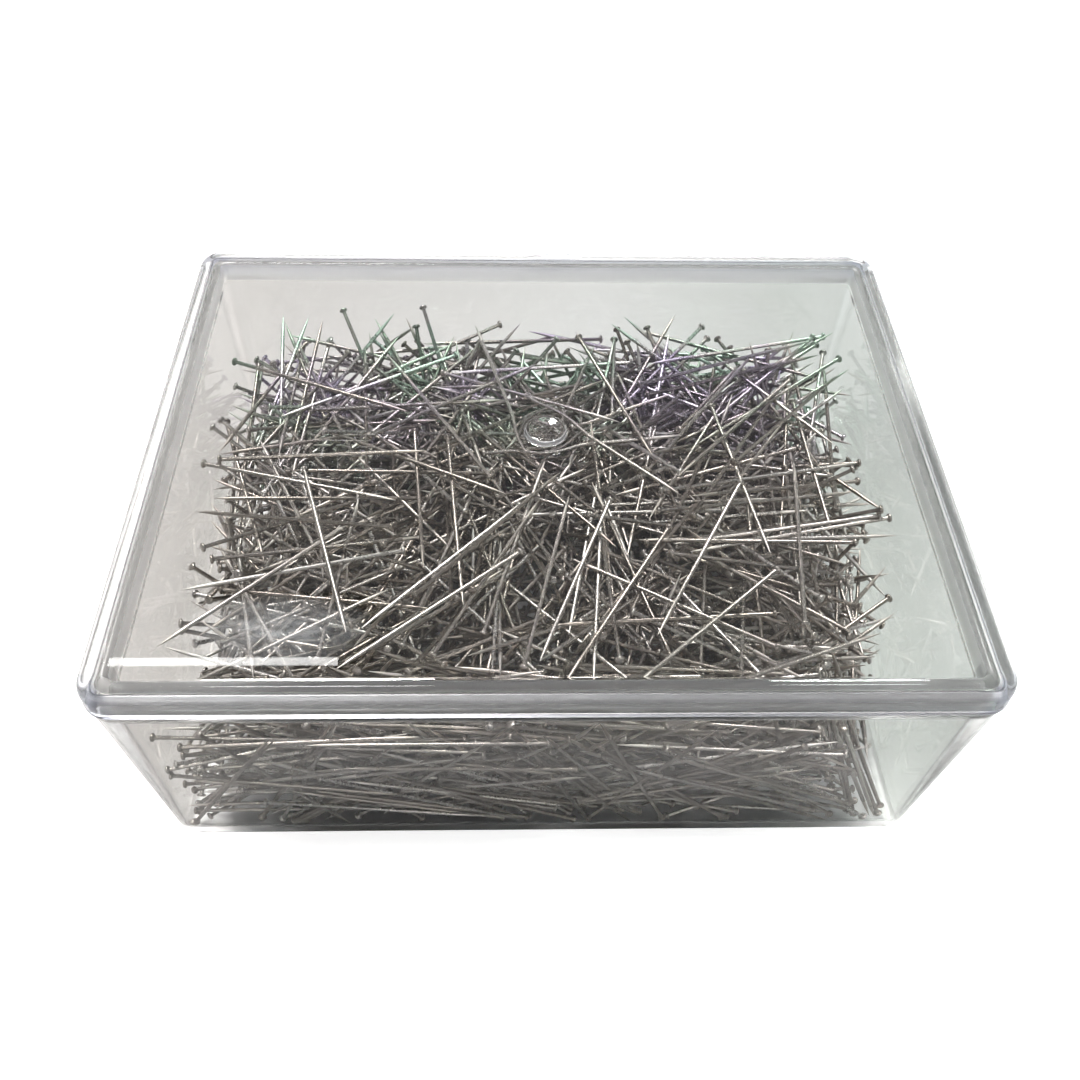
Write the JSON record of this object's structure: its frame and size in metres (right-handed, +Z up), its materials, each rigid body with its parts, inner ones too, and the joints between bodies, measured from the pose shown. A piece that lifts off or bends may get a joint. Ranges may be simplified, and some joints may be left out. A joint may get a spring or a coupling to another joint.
{
  "type": "box of straight pins",
  "caption": "Clear plastic box with a lift-off lid, full of loose nickel-plated straight pins with small flat heads; the top pins lie free on the heap under the lid.",
  "frame": {"origin": "middle of the tray's underside, on the surface the box stands on", "axes": "+X along the long side of the box, +Y towards the back, +Z up through the lid"},
  "size_m": [0.108, 0.0836, 0.0416],
  "materials": {
    "clear_tray": "clear moulded polystyrene, polished, lightly scuffed",
    "clear_lid": "clear moulded polystyrene, polished, lightly scuffed",
    "pin_bulk": null,
    "pin_steel": "bright nickel-plated drawn steel wire"
  },
  "bodies": {
    "tray": {"tray": "clear_tray"},
    "lid": {"lid": "clear_lid"},
    "load": {"pin_heap": "pin_bulk", "bedded_pin_01": "pin_steel", "bedded_pin_02": "pin_steel", "bedded_pin_03": "pin_steel", "bedded_pin_04": "pin_steel", "bedded_pin_05": "pin_steel", "bedded_pin_06": "pin_steel", "bedded_pin_07": "pin_steel", "bedded_pin_08": "pin_steel", "bedded_pin_09": "pin_steel", "bedded_pin_10": "pin_steel", "bedded_pin_11": "pin_steel", "bedded_pin_12": "pin_steel", "bedded_pin_13": "pin_steel", "bedded_pin_14": "pin_steel", "bedded_pin_15": "pin_steel", "bedded_pin_16": "pin_steel", "bedded_pin_17": "pin_steel", "bedded_pin_18": "pin_steel", "bedded_pin_19": "pin_steel", "bedded_pin_20": "pin_steel", "bedded_pin_21": "pin_steel", "bedded_pin_22": "pin_steel", "bedded_pin_23": "pin_steel", "bedded_pin_24": "pin_steel", "bedded_pin_25": "pin_steel", "bedded_pin_26": "pin_steel", "bedded_pin_27": "pin_steel", "bedded_pin_28": "pin_steel", "bedded_pin_29": "pin_steel", "bedded_pin_30": "pin_steel"},
    "loose_pin_01": {"loose_pin_01": "pin_steel"},
    "loose_pin_02": {"loose_pin_02": "pin_steel"},
    "loose_pin_03": {"loose_pin_03": "pin_steel"},
    "loose_pin_04": {"loose_pin_04": "pin_steel"},
    "loose_pin_05": {"loose_pin_05": "pin_steel"},
    "loose_pin_06": {"loose_pin_06": "pin_steel"},
    "loose_pin_07": {"loose_pin_07": "pin_steel"},
    "loose_pin_08": {"loose_pin_08": "pin_steel"},
    "loose_pin_09": {"loose_pin_09": "pin_steel"},
    "loose_pin_10": {"loose_pin_10": "pin_steel"},
    "loose_pin_11": {"loose_pin_11": "pin_steel"},
    "loose_pin_12": {"loose_pin_12": "pin_steel"},
    "loose_pin_13": {"loose_pin_13": "pin_steel"},
    "loose_pin_14": {"loose_pin_14": "pin_steel"},
    "loose_pin_15": {"loose_pin_15": "pin_steel"},
    "loose_pin_16": {"loose_pin_16": "pin_steel"},
    "loose_pin_17": {"loose_pin_17": "pin_steel"},
    "loose_pin_18": {"loose_pin_18": "pin_steel"}
  },
  "joints": [
    {"name": "lid_lift", "type": "slide", "parent": "tray", "child": "lid", "axis": [0, 0, 1], "range_m": [0, 0.06]},
    {"name": "load_lift", "type": "slide", "parent": "tray", "child": "load", "axis": [0, 0, 1], "range_m": [0, 0.002]},
    {"name": "pin_01_lift", "type": "slide", "parent": "load", "child": "loose_pin_01", "axis": [0, 0, 1], "range_m": [0, 0.0053]},
    {"name": "pin_02_lift", "type": "slide", "parent": "load", "child": "loose_pin_02", "axis": [0, 0, 1], "range_m": [0, 0.0043]},
    {"name": "pin_03_lift", "type": "slide", "parent": "load", "child": "loose_pin_03", "axis": [0, 0, 1], "range_m": [0, 0.0052]},
    {"name": "pin_04_lift", "type": "slide", "parent": "load", "child": "loose_pin_04", "axis": [0, 0, 1], "range_m": [0, 0.0047]},
    {"name": "pin_05_lift", "type": "slide", "parent": "load", "child": "loose_pin_05", "axis": [0, 0, 1], "range_m": [0, 0.0061]},
    {"name": "pin_06_lift", "type": "slide", "parent": "load", "child": "loose_pin_06", "axis": [0, 0, 1], "range_m": [0, 0.0047]},
    {"name": "pin_07_lift", "type": "slide", "parent": "load", "child": "loose_pin_07", "axis": [0, 0, 1], "range_m": [0, 0.0051]},
    {"name": "pin_08_lift", "type": "slide", "parent": "load", "child": "loose_pin_08", "axis": [0, 0, 1], "range_m": [0, 0.0054]},
    {"name": "pin_09_lift", "type": "slide", "parent": "load", "child": "loose_pin_09", "axis": [0, 0, 1], "range_m": [0, 0.0053]},
    {"name": "pin_10_lift", "type": "slide", "parent": "load", "child": "loose_pin_10", "axis": [0, 0, 1], "range_m": [0, 0.0053]},
    {"name": "pin_11_lift", "type": "slide", "parent": "load", "child": "loose_pin_11", "axis": [0, 0, 1], "range_m": [0, 0.0053]},
    {"name": "pin_12_lift", "type": "slide", "parent": "load", "child": "loose_pin_12", "axis": [0, 0, 1], "range_m": [0, 0.0054]},
    {"name": "pin_13_lift", "type": "slide", "parent": "load", "child": "loose_pin_13", "axis": [0, 0, 1], "range_m": [0, 0.0054]},
    {"name": "pin_14_lift", "type": "slide", "parent": "load", "child": "loose_pin_14", "axis": [0, 0, 1], "range_m": [0, 0.0055]},
    {"name": "pin_15_lift", "type": "slide", "parent": "load", "child": "loose_pin_15", "axis": [0, 0, 1], "range_m": [0, 0.0052]},
    {"name": "pin_16_lift", "type": "slide", "parent": "load", "child": "loose_pin_16", "axis": [0, 0, 1], "range_m": [0, 0.0052]},
    {"name": "pin_17_lift", "type": "slide", "parent": "load", "child": "loose_pin_17", "axis": [0, 0, 1], "range_m": [0, 0.004]},
    {"name": "pin_18_lift", "type": "slide", "parent": "load", "child": "loose_pin_18", "axis": [0, 0, 1], "range_m": [0, 0.0058]}
  ]
}
